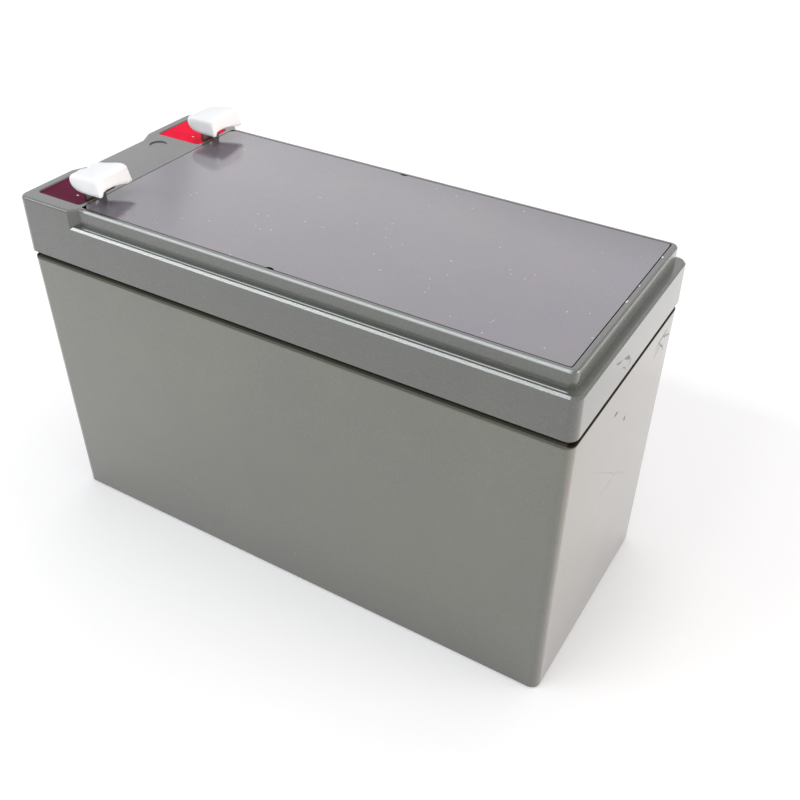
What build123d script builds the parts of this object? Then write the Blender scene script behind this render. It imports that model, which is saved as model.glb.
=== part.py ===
from build123d import *
from math import radians, tan
import os

# Sealed lead battery of the 151 x 65 x 94 mm size.
# Millimetres. Origin at the centre of the base, +X along the length away from the terminals,
# +Y towards the positive terminal, +Z up.

# Case
case_length = 151.0
case_width = 65.0
top_height = 94.0
corner_radius = 2.4

# Lid, from the top down
raised_height = 4.4
skirt_height = 10.9
seam_gap = 1.4
lid_draft = 0.7
raised_inset = 2.25
raised_corner = 1.8
top_edge_round = 0.75
shoulder_bevel = 0.5
skirt_bevel = 0.3
deck_thickness = 2.6
leg_depth = 3.0
leg_thickness = 1.5
channel_clearance = 0.15

# Corner blocks that carry the terminal pockets
block_length = 16.8
block_reach = 12.0
block_slope = 4.8
mark_diameter = 4.8
mark_depth = 0.3
mark_x = 8.0
mark_y = 10.1

# Terminal pockets
pocket_length = 14.5
pocket_width = 12.4
pocket_corner = 1.0
pocket_end_wall = 2.9
pocket_side_wall = 4.3
pocket_bevel = 0.25
epoxy_drop = 0.45

# Vent cover and the well under it
cover_thickness = 1.6
cover_side_inset = 3.7
cover_end_inset = 4.0
cover_start = 18.9
cover_gap = 0.25
cover_corner = 0.6
cover_chamfer = 1.3
ledge_width = 1.6
well_rib = 1.6
well_rib_slot = 8.0
notch_radius = 1.5
notch_depth = 0.55
ledge_slot_depth = 0.8

# Vent nozzles and the rubber caps on them
nozzle_diameter = 6.4
nozzle_bore = 3.6
nozzle_height = 4.0
valve_diameter = 9.2
valve_play = 0.3
valve_lift = 0.6
valve_margin = 1.5

# Container
container_inset = 0.3
container_draft = 0.4
container_bevel = 0.3
base_bevel = 0.5
wall = 2.6
floor_thickness = 2.6
tongue_step = 1.3
tongue_height = 6.7
partition = 1.6
cell_draft = 0.3
cell_columns = 3
cell_rows = 2
rib_height = 1.2
rib_width = 1.6
rib_spacing = 22.0

# Plate packs
positive_count = 4
negative_share = 0.74
separator_share = 0.52
pack_clearance = 0.3
plate_margin = 1.0
separator_rise = 1.5
lug_width = 7.0
lug_thickness = 1.2
lug_length = 5.0

# Straps, uprights, welds
strap_drop = 13.0
strap_thickness = 3.5
strap_width = 8.5
strap_corner = 1.5
upright_thickness = 2.6
upright_width = 11.0
upright_corner = 3.0
upright_gap = 0.6
upright_clearance = 0.1
weld_radius = 2.6
weld_sides = 8
weld_clearance = 0.1

# Terminals
post_length = 6.6
post_width = 8.0
post_corner = 0.8
post_clearance = 0.3
foot_lift = 1.4
foot_overhang = 4.0
tab_thickness = 0.8
tab_width = 6.35
tab_foot_width = 8.0
tab_top = 6.2
tab_shoulder_drop = 0.8
tab_wall_gap = 0.6
tab_hole = 1.8
tab_hole_drop = 3.9
tab_corner = 1.1
tab_bend = 0.9

# Tab covers
sleeve_width = 11.6
sleeve_offset = 0.3
sleeve_length = 9.0
sleeve_height = 4.6
sleeve_roof = 1.5
sleeve_wall = 1.1
sleeve_skin = 1.5
sleeve_grip = 0.1
sleeve_rib = 1.0
sleeve_corner = 1.0
sleeve_cut_length = 6.6
sleeve_cut_width = 2.9
sleeve_edge_bevel = 0.7
sleeve_lobe = 0.9
sleeve_lobe_width = 4.6
sleeve_lobe_drop = 0.3
sleeve_lobe_round = 1.6
sleeve_notch_start = 1.4
sleeve_notch_height = 1.2
sleeve_notch_width = 7.9

# Levels
shoulder_z = top_height - raised_height
skirt_z = shoulder_z - skirt_height
container_z = skirt_z - seam_gap
rim_z = container_z + tongue_height
deck_z = rim_z + deck_thickness
leg_z = rim_z - leg_depth
ledge_z = top_height - cover_thickness
epoxy_z = top_height - epoxy_drop
strap_z = rim_z - strap_drop
plate_top_z = strap_z - lug_length
rib_z = floor_thickness + rib_height
foot_z = deck_z + foot_lift
tab_top_z = top_height + tab_top
upright_z = leg_z - upright_gap
weld_z = (strap_z + strap_thickness + upright_z) / 2

# Plan sizes that follow from them
half_length = case_length / 2
half_width = case_width / 2
skirt_wall = container_inset + tongue_step - channel_clearance
tongue_inset = container_inset + tongue_step
tongue_corner = corner_radius - tongue_step
cell_length = (case_length - 2 * (container_inset + wall) - (cell_columns - 1) * partition) / cell_columns
cell_width = (case_width - 2 * (container_inset + wall) - (cell_rows - 1) * partition) / cell_rows
pitch_x = cell_length + partition
pitch_y = cell_width + partition
cell_y = pitch_y / 2
terminal_x = -half_length + pocket_end_wall + pocket_length / 2
terminal_y = half_width - pocket_side_wall - pocket_width / 2
strap_offset = -terminal_x - pitch_x
cover_x0 = -half_length + cover_start
cover_x1 = half_length - cover_end_inset
cover_length = cover_x1 - cover_x0
cover_width = case_width - 2 * cover_side_inset
cover_x = (cover_x0 + cover_x1) / 2
blade_x = terminal_x + pocket_length / 2 - tab_wall_gap - tab_thickness / 2
# The first pair of nozzles keeps a margin from the end of the well, the others stand over the
# middle of their cells.
nozzle_xs = [cover_x0 + ledge_width + valve_margin + valve_diameter / 2, 0.0, pitch_x]
nozzles = [(x, side * cell_y) for side, xs in ((1, nozzle_xs), (-1, nozzle_xs[::-1])) for x in xs]
draft_shrink = 2 * (rim_z - floor_thickness) * tan(radians(cell_draft))
pack_length = cell_length - draft_shrink - 2 * pack_clearance
pack_width = cell_width - draft_shrink - 2 * pack_clearance
plate_length = pack_length - 2 * plate_margin
negative_count = positive_count + 1
# The pack fills the cell: negative plates and mats are shares of a positive plate's thickness.
pack_shares = positive_count + negative_count * negative_share + 2 * positive_count * separator_share
positive_thickness = pack_width / pack_shares
negative_thickness = negative_share * positive_thickness
separator_thickness = separator_share * positive_thickness
plate_pitch = (positive_thickness + negative_thickness) / 2 + separator_thickness
positive_ys = [plate_pitch * (2 * i - positive_count + 1) for i in range(positive_count)]
negative_ys = [plate_pitch * (2 * i - negative_count + 1) for i in range(negative_count)]
partition_xs = [pitch_x * (i - (cell_columns - 2) / 2) for i in range(cell_columns - 1)]
turn_x = pitch_x + strap_offset
wall_lean = (rim_z - strap_z) * tan(radians(cell_draft))
foot_inset = container_inset + container_z * tan(radians(container_draft))
# Outlines up the outside of the container: level, inset from the case's plan size, corner radius.
container_outlines = [
    (0.0, foot_inset + base_bevel, corner_radius - base_bevel),
    (base_bevel, foot_inset, corner_radius),
    (container_z - container_bevel, container_inset, corner_radius),
    (container_z, container_inset + container_bevel, corner_radius - container_bevel),
]
weld_length = partition + 2 * (wall_lean + upright_clearance)

# Cells in the order of the current, from the positive terminal along the back row and home again:
# centre, the side in X of the positive strap, and which way each strap's upright faces.
cells = [
    (-pitch_x, cell_y, -1, None, "x"),
    (0.0, cell_y, -1, "x", "x"),
    (pitch_x, cell_y, -1, "x", "y"),
    (pitch_x, -cell_y, 1, "y", "x"),
    (0.0, -cell_y, 1, "x", "x"),
    (-pitch_x, -cell_y, 1, "x", None),
]
# Where the uprights of neighbouring cells are welded through a partition, in the same order.
weld_planes = [
    Plane((partition_xs[0], cell_y, weld_z), z_dir=(1, 0, 0)),
    Plane((partition_xs[1], cell_y, weld_z), z_dir=(1, 0, 0)),
    Plane((turn_x, 0, weld_z), z_dir=(0, 1, 0)),
    Plane((partition_xs[1], -cell_y, weld_z), z_dir=(1, 0, 0)),
    Plane((partition_xs[0], -cell_y, weld_z), z_dir=(1, 0, 0)),
]

os.makedirs("parts", exist_ok=True)


# Container: drafted tub with six cells, a tongue for the lid, floor ribs and weld windows.
with BuildPart() as container:
    for level, inset, radius in container_outlines:
        with BuildSketch(Plane.XY.offset(level)):
            RectangleRounded(case_length - 2 * inset, case_width - 2 * inset, radius)
    loft(ruled=True)
    with BuildSketch(Plane.XY.offset(container_z)):
        RectangleRounded(case_length - 2 * tongue_inset, case_width - 2 * tongue_inset, tongue_corner)
    extrude(amount=tongue_height)
    with BuildSketch(Plane.XY.offset(rim_z)):
        with GridLocations(pitch_x, pitch_y, cell_columns, cell_rows):
            Rectangle(cell_length, cell_width)
    extrude(amount=floor_thickness - rim_z, taper=cell_draft, mode=Mode.SUBTRACT)
    with BuildSketch(Plane.XY.offset(floor_thickness)):
        with GridLocations(pitch_x, pitch_y, cell_columns, cell_rows):
            with GridLocations(rib_spacing, 0, 2, 1):
                Rectangle(rib_width, cell_width - draft_shrink)
    extrude(amount=rib_height)
    with BuildSketch(*weld_planes):
        RegularPolygon(weld_radius, weld_sides, rotation=180 / weld_sides)
    extrude(amount=partition, both=True, mode=Mode.SUBTRACT)
container.part.label = "container"
export_step(container.part, "parts/container.step")


# Raised top of the lid: the step round it runs out at the two corner blocks.
step_x = -half_length + raised_inset
far_x = half_length - raised_inset
step_y = half_width - raised_inset
block_x = -half_length + block_length + raised_inset
block_y = terminal_y - block_reach
raised_root_z = shoulder_z - 2 * shoulder_bevel
over = 2 * raised_inset
with BuildPart() as raised_top:
    with BuildSketch(Plane.XY.offset(skirt_z)):
        RectangleRounded(case_length, case_width, corner_radius)
    extrude(amount=top_height - skirt_z, taper=lid_draft)
    split(bisect_by=Plane.XY.offset(raised_root_z), keep=Keep.TOP)
    with BuildSketch(Plane.XY.offset(raised_root_z)):
        with BuildLine():
            Polyline(
                (block_x - over, -step_y - over),
                (block_x, -step_y),
                (far_x, -step_y),
                (far_x, step_y),
                (block_x, step_y),
                (block_x - over, step_y + over),
                (step_x - over, step_y + over),
                (step_x - over, block_y + 2 * block_slope),
                (step_x, block_y),
                (step_x, -block_y),
                (step_x - over, -block_y - 2 * block_slope),
                (step_x - over, -step_y - over),
                close=True,
            )
        make_face()
    extrude(amount=top_height - raised_root_z, mode=Mode.INTERSECT)
    upright_edges = raised_top.edges().filter_by(
        lambda e: abs(e.center().Z - (raised_root_z + top_height) / 2) < 0.2
    )
    fillet(upright_edges.group_by(Axis.X)[-1], raised_corner)
    fillet(raised_top.faces().sort_by(Axis.Z)[-1].edges(), top_edge_round)


# Lid: one moulding with the skirt, the raised top, two terminal pockets and the vent well.
with BuildPart() as lid:
    with BuildSketch(Plane.XY.offset(skirt_z)):
        RectangleRounded(case_length, case_width, corner_radius)
    extrude(amount=shoulder_z - skirt_z, taper=lid_draft)
    chamfer(lid.faces().sort_by(Axis.Z)[-1].edges(), shoulder_bevel)
    chamfer(lid.faces().sort_by(Axis.Z)[0].edges(), skirt_bevel)
    add(raised_top.part)

    # Underside: a skirt all round and one leg ring in the mouth of each cell.
    with BuildSketch(Plane.XY.offset(skirt_z)):
        RectangleRounded(
            case_length - 2 * skirt_wall, case_width - 2 * skirt_wall, tongue_corner + channel_clearance
        )
    extrude(amount=rim_z - skirt_z, mode=Mode.SUBTRACT)
    with BuildSketch(Plane.XY.offset(leg_z)):
        with GridLocations(pitch_x, pitch_y, cell_columns, cell_rows):
            Rectangle(cell_length - 4 * channel_clearance, cell_width - 4 * channel_clearance)
            Rectangle(
                cell_length - 4 * channel_clearance - 2 * leg_thickness,
                cell_width - 4 * channel_clearance - 2 * leg_thickness,
                mode=Mode.SUBTRACT,
            )
    extrude(amount=leg_depth)

    # Vent well with its ledge, cross ribs and nozzles.
    with BuildSketch(Plane.XY.offset(ledge_z)):
        with Locations((cover_x, 0)):
            RectangleRounded(cover_length + 2 * cover_gap, cover_width + 2 * cover_gap, cover_corner)
    extrude(amount=cover_thickness, mode=Mode.SUBTRACT)
    with BuildSketch(Plane.XY.offset(deck_z)):
        with Locations((cover_x, 0)):
            RectangleRounded(cover_length - 2 * ledge_width, cover_width - 2 * ledge_width, cover_corner)
        for x in partition_xs:
            with Locations((x, 0)):
                Rectangle(well_rib, cover_width, mode=Mode.SUBTRACT)
                Rectangle(well_rib, well_rib_slot)
    extrude(amount=ledge_z - deck_z, mode=Mode.SUBTRACT)
    with BuildSketch(Plane.XY.offset(ledge_z)):
        Rectangle(2 * notch_radius, cover_width + 2 * cover_gap)
    extrude(amount=-ledge_slot_depth, mode=Mode.SUBTRACT)
    with BuildSketch(Plane.XY.offset(deck_z)):
        with Locations(*nozzles):
            Circle(nozzle_diameter / 2)
    extrude(amount=nozzle_height)
    with BuildSketch(Plane.XY.offset(rim_z)):
        with Locations(*nozzles):
            Circle(nozzle_bore / 2)
    extrude(amount=deck_thickness + nozzle_height, mode=Mode.SUBTRACT)

    # Terminal pockets with the holes for the posts, and the round gate mark between them.
    with BuildSketch(Plane.XY.offset(deck_z)):
        with Locations((terminal_x, terminal_y), (terminal_x, -terminal_y)):
            RectangleRounded(pocket_length, pocket_width, pocket_corner)
    extrude(amount=top_height - deck_z, mode=Mode.SUBTRACT)
    pocket_edges = lid.edges().filter_by(
        lambda e: abs(e.center().Z - top_height) < 0.01
        and e.center().X < terminal_x + pocket_length / 2 + 0.1
        and e.center().X > terminal_x - pocket_length / 2 - 0.1
        and abs(e.center().Y) > terminal_y - pocket_width / 2 - 0.1
        and abs(e.center().Y) < terminal_y + pocket_width / 2 + 0.1
    )
    chamfer(pocket_edges, pocket_bevel)
    with BuildSketch(Plane.XY.offset(rim_z)):
        with Locations((terminal_x, terminal_y), (terminal_x, -terminal_y)):
            Rectangle(post_length + 2 * post_clearance, post_width + 2 * post_clearance)
    extrude(amount=deck_thickness, mode=Mode.SUBTRACT)
    with BuildSketch(Plane.XY.offset(top_height)):
        with Locations((mark_x - half_length, mark_y)):
            Circle(mark_diameter / 2)
    extrude(amount=-mark_depth, mode=Mode.SUBTRACT)
lid.part.label = "lid"
export_step(lid.part, "parts/lid.step")


# Vent cover: flat plate flush with the raised top, with two gas notches.
with BuildPart() as vent_cover:
    with BuildSketch(Plane.XY.offset(ledge_z)):
        with Locations((cover_x, 0)):
            RectangleRounded(cover_length, cover_width, cover_corner)
        for side in (-1, 1):
            with BuildLine():
                Polyline(
                    (cover_x0, side * (cover_width / 2 - cover_chamfer)),
                    (cover_x0 + cover_chamfer, side * cover_width / 2),
                    (cover_x0, side * cover_width / 2),
                    close=True,
                )
            make_face(mode=Mode.SUBTRACT)
            with Locations((0, side * (cover_width / 2 + notch_radius - notch_depth))):
                Circle(notch_radius, mode=Mode.SUBTRACT)
    extrude(amount=cover_thickness)
vent_cover.part.label = "vent_cover"
export_step(vent_cover.part, "parts/vent_cover.step")


# Vent valves: a rubber cap over each nozzle.
with BuildPart() as vent_valves:
    with BuildSketch(Plane.XY.offset(deck_z + valve_lift)):
        with Locations(*nozzles):
            Circle(valve_diameter / 2)
    extrude(amount=ledge_z - valve_play - deck_z - valve_lift)
    with BuildSketch(Plane.XY.offset(deck_z + valve_lift)):
        with Locations(*nozzles):
            Circle(nozzle_diameter / 2)
    extrude(amount=nozzle_height - valve_lift, mode=Mode.SUBTRACT)
vent_valves.part.label = "vent_valves"
export_step(vent_valves.part, "parts/vent_valves.step")


# Each cell: two groups of plates, the separators round the positive ones, and two cast straps.
for number, (x, y, side, positive_way, negative_way) in enumerate(cells, start=1):
    with BuildPart() as positive_plates:
        for plate_y in positive_ys:
            with BuildSketch(Plane.XY.offset(rib_z + separator_thickness)):
                with Locations((x, y + plate_y)):
                    Rectangle(plate_length, positive_thickness)
            extrude(amount=plate_top_z - rib_z - separator_thickness)
            with BuildSketch(Plane.XY.offset(plate_top_z)):
                with Locations((x + side * strap_offset, y + plate_y)):
                    Rectangle(lug_width, lug_thickness)
            extrude(amount=lug_length)
    positive_plates.part.label = f"cell_{number}_positive_plates"
    export_step(positive_plates.part, f"parts/cell_{number}_positive_plates.step")

    with BuildPart() as negative_plates:
        for plate_y in negative_ys:
            with BuildSketch(Plane.XY.offset(rib_z)):
                with Locations((x, y + plate_y)):
                    Rectangle(plate_length, negative_thickness)
            extrude(amount=plate_top_z - rib_z)
            with BuildSketch(Plane.XY.offset(plate_top_z)):
                with Locations((x - side * strap_offset, y + plate_y)):
                    Rectangle(lug_width, lug_thickness)
            extrude(amount=lug_length)
    negative_plates.part.label = f"cell_{number}_negative_plates"
    export_step(negative_plates.part, f"parts/cell_{number}_negative_plates.step")

    # Separators: a glass mat folded under each positive plate and up both of its faces.
    with BuildPart() as separators:
        for plate_y in positive_ys:
            with BuildSketch(Plane.XY.offset(rib_z)):
                with Locations((x, y + plate_y)):
                    Rectangle(pack_length, positive_thickness + 2 * separator_thickness)
            extrude(amount=plate_top_z + separator_rise - rib_z)
            with BuildSketch(Plane.XY.offset(rib_z + separator_thickness)):
                with Locations((x, y + plate_y)):
                    Rectangle(pack_length, positive_thickness)
            extrude(amount=plate_top_z + separator_rise, mode=Mode.SUBTRACT)
    separators.part.label = f"cell_{number}_separators"
    export_step(separators.part, f"parts/cell_{number}_separators.step")

    # Straps: each is burned to its lugs, and has an upright that meets the partition. The weld that
    # fills the window in the partition is cast with the negative strap.
    for kind, sign, way in (("positive", side, positive_way), ("negative", -side, negative_way)):
        strap_x = x + sign * strap_offset
        to_row = -1 if y > 0 else 1
        with BuildPart() as strap:
            with BuildSketch(Plane.XY.offset(strap_z)):
                with Locations((strap_x, y)):
                    Rectangle(strap_width, pack_width)
            extrude(amount=strap_thickness)
            chamfer(strap.edges().filter_by(Axis.Z), strap_corner)
            if way == "x":
                face_x = x + sign * (cell_length / 2 - wall_lean - upright_clearance)
                with BuildSketch(Plane.XY.offset(strap_z)):
                    with Locations(((strap_x + face_x) / 2, y)):
                        Rectangle(abs(face_x - strap_x), upright_width)
                extrude(amount=strap_thickness)
                with BuildSketch(Plane.YZ.offset(face_x)):
                    with Locations((y, strap_z)):
                        Rectangle(upright_width, upright_z - strap_z, align=(Align.CENTER, Align.MIN))
                extrude(amount=-sign * upright_thickness)
                chamfer(strap.edges().filter_by(Axis.X).group_by(Axis.Z)[-1], upright_corner)
            if way == "y":
                face_y = y + to_row * (cell_width / 2 - wall_lean - upright_clearance)
                with BuildSketch(Plane.XY.offset(strap_z)):
                    with Locations((strap_x, (y + face_y) / 2)):
                        Rectangle(strap_width, abs(face_y - y))
                extrude(amount=strap_thickness)
                with BuildSketch(Plane.XZ.offset(-face_y)):
                    with Locations((strap_x, strap_z)):
                        Rectangle(strap_width, upright_z - strap_z, align=(Align.CENTER, Align.MIN))
                extrude(amount=to_row * upright_thickness)
                chamfer(strap.edges().filter_by(Axis.Y).group_by(Axis.Z)[-1], upright_corner)
            if way and kind == "negative":
                with BuildSketch(weld_planes[number - 1]):
                    RegularPolygon(weld_radius - weld_clearance, weld_sides, rotation=180 / weld_sides)
                extrude(amount=weld_length / 2, both=True)
        strap.part.label = f"cell_{number}_{kind}_strap"
        export_step(strap.part, f"parts/cell_{number}_{kind}_strap.step")


# Terminals: post, tab, the epoxy that fills the pocket, and the slip-on cover of the tab.
for kind, y in (("positive", terminal_y), ("negative", -terminal_y)):
    # Post: a bar from the strap up through the pocket floor, with the tab soldered on its end.
    with BuildPart() as post:
        with BuildSketch(Plane.XY.offset(strap_z + strap_thickness)):
            with Locations((terminal_x, y)):
                Rectangle(post_length, post_width)
        extrude(amount=foot_z - strap_z - strap_thickness)
        chamfer(post.edges().filter_by(Axis.Z), post_corner)
    post.part.label = f"{kind}_post"
    export_step(post.part, f"parts/{kind}_post.step")

    # Tab: one strip bent up at the pocket's inner wall, narrowed to the blade above its shoulders.
    with BuildPart() as tab:
        with BuildSketch(Plane.XZ.offset(-y)):
            with BuildLine():
                Polyline(
                    (terminal_x - foot_overhang, foot_z),
                    (blade_x + tab_thickness / 2, foot_z),
                    (blade_x + tab_thickness / 2, tab_top_z),
                    (blade_x - tab_thickness / 2, tab_top_z),
                    (blade_x - tab_thickness / 2, foot_z + tab_thickness),
                    (terminal_x - foot_overhang, foot_z + tab_thickness),
                    close=True,
                )
            make_face()
        extrude(amount=tab_foot_width / 2, both=True)
        fillet(tab.edges().filter_by(Axis.Y).group_by(Axis.Z)[0].sort_by(Axis.X)[-1], tab_bend)
        shoulder_top = top_height - tab_shoulder_drop
        with BuildSketch(Plane.YZ.offset(blade_x - tab_thickness)):
            for edge in (-1, 1):
                with Locations((y + edge * (tab_width / 2 + tab_foot_width / 2), shoulder_top)):
                    Rectangle(tab_foot_width, tab_top_z, align=(Align.CENTER, Align.MIN))
            with Locations((y, tab_top_z - tab_hole_drop)):
                Circle(tab_hole / 2)
        extrude(amount=2 * tab_thickness, mode=Mode.SUBTRACT)
        chamfer(tab.edges().filter_by(Axis.X).group_by(Axis.Z)[-1], tab_corner)
    tab.part.label = f"{kind}_tab"
    export_step(tab.part, f"parts/{kind}_tab.step")

    # Epoxy: poured level round the post and the tab's foot.
    with BuildPart() as epoxy:
        with BuildSketch(Plane.XY.offset(deck_z)):
            with Locations((terminal_x, y)):
                RectangleRounded(pocket_length, pocket_width, pocket_corner)
        extrude(amount=epoxy_z - deck_z)
        add(post.part, mode=Mode.SUBTRACT)
        add(tab.part, mode=Mode.SUBTRACT)
    epoxy.part.label = f"{kind}_epoxy"
    export_step(epoxy.part, f"parts/{kind}_epoxy.step")

    # Tab cover: soft moulding pushed down on the blade, hollow below, with a lobe at the front of its
    # outer side, the back corner cut off at a slant and an arch in the inner side.
    cover_bottom_z = tab_top_z + sleeve_roof - sleeve_height
    main_x0 = blade_x - tab_thickness / 2 - sleeve_grip - sleeve_skin
    main_x1 = main_x0 + sleeve_length
    front_y = y + sleeve_offset - sleeve_width / 2
    back_y = y + sleeve_offset + sleeve_width / 2
    with BuildPart() as cover_lobe:
        with BuildSketch(Plane.XY.offset(cover_bottom_z)):
            with Locations((main_x0 - sleeve_lobe, front_y)):
                Rectangle(sleeve_lobe + sleeve_skin, sleeve_lobe_width, align=(Align.MIN, Align.MIN))
        extrude(amount=sleeve_height - sleeve_lobe_drop)
        fillet(cover_lobe.edges().filter_by(Axis.Z).group_by(Axis.X)[0], sleeve_lobe_round)
        low_side = cover_lobe.faces().filter_by(Axis.Z).edges()
        chamfer(low_side.filter_by(lambda e: e.center().X < main_x0), sleeve_edge_bevel)
    with BuildPart() as tab_cover:
        with BuildSketch(Plane.XY.offset(cover_bottom_z)):
            with BuildLine():
                Polyline(
                    (main_x0, front_y),
                    (main_x1, front_y),
                    (main_x1, back_y),
                    (main_x0 + sleeve_cut_length, back_y),
                    (main_x0, back_y - sleeve_cut_width),
                    close=True,
                )
            make_face()
            fillet(vertices(), sleeve_corner)
        extrude(amount=sleeve_height)
        chamfer(tab_cover.faces().sort_by(Axis.Z)[-1].edges(), sleeve_edge_bevel)
        add(cover_lobe.part)
        with BuildSketch(Plane.XY.offset(cover_bottom_z)):
            with Locations((blade_x, y)):
                Rectangle(tab_thickness + 2 * sleeve_grip, tab_width + 2 * sleeve_grip)
            grip_x = blade_x + tab_thickness / 2 + sleeve_grip + sleeve_rib
            with Locations((grip_x, y)):
                Rectangle(
                    main_x1 - sleeve_wall - grip_x,
                    sleeve_width - 2 * sleeve_wall - 2 * sleeve_offset,
                    align=(Align.MIN, Align.CENTER),
                )
        extrude(amount=tab_top_z - cover_bottom_z, mode=Mode.SUBTRACT)
        notch_y = front_y + sleeve_notch_start
        with BuildSketch(Plane.YZ.offset(main_x1)):
            with BuildLine():
                Spline(
                    (notch_y, cover_bottom_z),
                    (notch_y + 0.06 * sleeve_notch_width, cover_bottom_z + 0.85 * sleeve_notch_height),
                    (notch_y + 0.3 * sleeve_notch_width, cover_bottom_z + sleeve_notch_height),
                    (notch_y + 0.65 * sleeve_notch_width, cover_bottom_z + 0.7 * sleeve_notch_height),
                    (notch_y + sleeve_notch_width, cover_bottom_z),
                )
                Line((notch_y + sleeve_notch_width, cover_bottom_z), (notch_y, cover_bottom_z))
            make_face()
        extrude(amount=-2 * sleeve_wall, mode=Mode.SUBTRACT)
    tab_cover.part.label = f"{kind}_tab_cover"
    export_step(tab_cover.part, f"parts/{kind}_tab_cover.step")
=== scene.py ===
"""Looks of a sealed lead battery for a back-up power supply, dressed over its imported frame."""

import math

import bpy
import numpy as np
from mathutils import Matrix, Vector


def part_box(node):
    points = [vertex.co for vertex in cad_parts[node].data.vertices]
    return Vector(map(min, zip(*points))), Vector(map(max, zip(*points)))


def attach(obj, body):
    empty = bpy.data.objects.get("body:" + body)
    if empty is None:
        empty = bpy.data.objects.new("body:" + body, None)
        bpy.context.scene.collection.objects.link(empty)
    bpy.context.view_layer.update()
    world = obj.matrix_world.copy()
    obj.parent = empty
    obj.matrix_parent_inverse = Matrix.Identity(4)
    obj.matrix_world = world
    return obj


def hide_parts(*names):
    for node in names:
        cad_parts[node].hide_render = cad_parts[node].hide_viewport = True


bl_info = {
    "name": "Sealed battery looks",
    "version": (1, 0, 0),
    "blender": (4, 5, 0),
    "location": "View3D > Sidebar > Battery",
    "description": "Finishes, poured epoxy, tab covers and studio of a sealed lead battery",
    "category": "Object",
}

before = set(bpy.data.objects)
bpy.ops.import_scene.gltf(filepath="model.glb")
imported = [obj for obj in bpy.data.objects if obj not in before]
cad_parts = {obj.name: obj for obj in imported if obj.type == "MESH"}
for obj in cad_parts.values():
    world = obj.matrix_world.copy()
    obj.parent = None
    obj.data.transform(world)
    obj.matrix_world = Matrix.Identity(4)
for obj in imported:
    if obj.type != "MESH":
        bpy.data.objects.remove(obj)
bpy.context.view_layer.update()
MM = 0.001

# Places on the case that its marks, painted shade and painted highlights are drawn at, and the lengths over
# which they fade
END_X = 75.1 * MM
END_FACE = (74.2 * MM, 74.5 * MM)
SIDE_Y = 32.1 * MM
TOP_Z = 94.0 * MM
SEAM_Z = 77.3 * MM
SKIRT_Z = 78.7 * MM
# Painted highlight lines along the step and along the edge of the raised top lie at these places
STEP_Y, STEP_Z = 31.15 * MM, 89.6 * MM
RIM_Y, RIM_Z = 30.02 * MM, 93.72 * MM
LINE_START = (-55.5 * MM, -54.5 * MM)
LINE_END = (71.6 * MM, 72.4 * MM)
GAP_REACH, GAP_DEPTH = 0.3 * MM, 0.08 * MM
MASK_EDGE = 0.05 * MM
MASK_FADE = 0.1 * MM

# Colours of dirt, dust and rub marks, and of painted shade, painted light, painted highlights and a painted
# glint
# Painted shade inside the seam between container and lid
SEAM_PAINTED_SHADE = (0.030, 0.019, 0.018)
# Painted shade in the gap round the flush cover
GAP_PAINTED_SHADE = (0.012, 0.010, 0.010)
# Painted warm light on the ends, and painted shade at the foot
END_PAINTED_LIGHT = (0.198, 0.176, 0.146)
FOOT_PAINTED_SHADE = (0.06, 0.052, 0.052)
GRAIN_TINT = (0.36, 0.36, 0.37)
DARK_DUST = (0.05, 0.05, 0.05)
PALE_DUST = (0.66, 0.65, 0.67)
FAINT_LINE = (0.10, 0.10, 0.10)
SCUFF = (0.07, 0.07, 0.07)
CONTAINER_RUB = (0.045, 0.045, 0.047)
LID_RUB = (0.06, 0.06, 0.062)
# Painted highlight along the step and along the edge of the raised top
PAINTED_EDGE_HIGHLIGHT = (0.78, 0.82, 0.82)
BURR = (0.75, 0.74, 0.75)
FLECK = (0.62, 0.61, 0.62)
# Painted glint on the epoxy pours
PAINTED_GLINT = (0.90, 0.86, 0.88)

# Colours of the lamps
WARM = (1.0, 0.90, 0.82)
COOL = (0.94, 0.98, 1.0)
PLAIN = (1.0, 0.99, 1.0)

# Lamps: name, which power, place, target, run of the first side, size, colour
LEVEL = (1.0, 0.0, 0.0)
ABOVE = (0.0, 0.0, 0.09)
LAMPS = (
    ("right_lamp", "right_power", (1.3, 0.4, 0.24), (0.07, 0.0, 0.05), (0.3, -1.0, 0.0), (0.9, 0.4), WARM),
    ("front_lamp", "front_power", (-0.58, -0.7, 0.9), ABOVE, (0.75, -0.21, 0.26), (1.15, 0.12), COOL),
    ("fill_lamp", "fill_power", (0.25, -1.25, 0.75), (0.0, 0.0, 0.05), LEVEL, (1.3, 1.0), PLAIN),
    ("glare_lamp", "glare_power", (-0.36, 1.02, 0.93), (0.02, 0.0, 0.09), LEVEL, (1.3, 0.55), PLAIN),
    ("top_lamp", "top_power", (0.1, 0.1, 1.4), ABOVE, LEVEL, (0.8, 0.8), PLAIN),
)

# Plan and edges of a tab cover
PLAN_POINTS = 240
NICK_REACH = 0.9 * MM
NICK_WIDTH = 0.5 * MM
ARCH_PLACES = (0.8, 1.2, 2.3, 5.0, 7.6, 9.6)
ARCH_RISES = (0.0, 0.95, 1.25, 1.2, 0.65, 0.0)
SAG_DEPTH, SAG_REACH = 0.55 * MM, 2.6 * MM

# Floor and backdrop, in metres
FLOOR_REACH = 2.4
FLOOR_FRONT = -2.0
BEND_START = 1.6
BEND_RADIUS = 0.7
BACKDROP_TOP = 2.2

# What properties of one kind have in common
COLOUR = {"subtype": "COLOR", "size": 3, "min": 0, "max": 1}
LENGTH = {"subtype": "DISTANCE", "unit": "LENGTH", "min": 0}
POWER = {"unit": "POWER", "min": 0}
SHARE = {"min": 0, "max": 1}
SPAN = {**LENGTH, "min": 0.0001}

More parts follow.
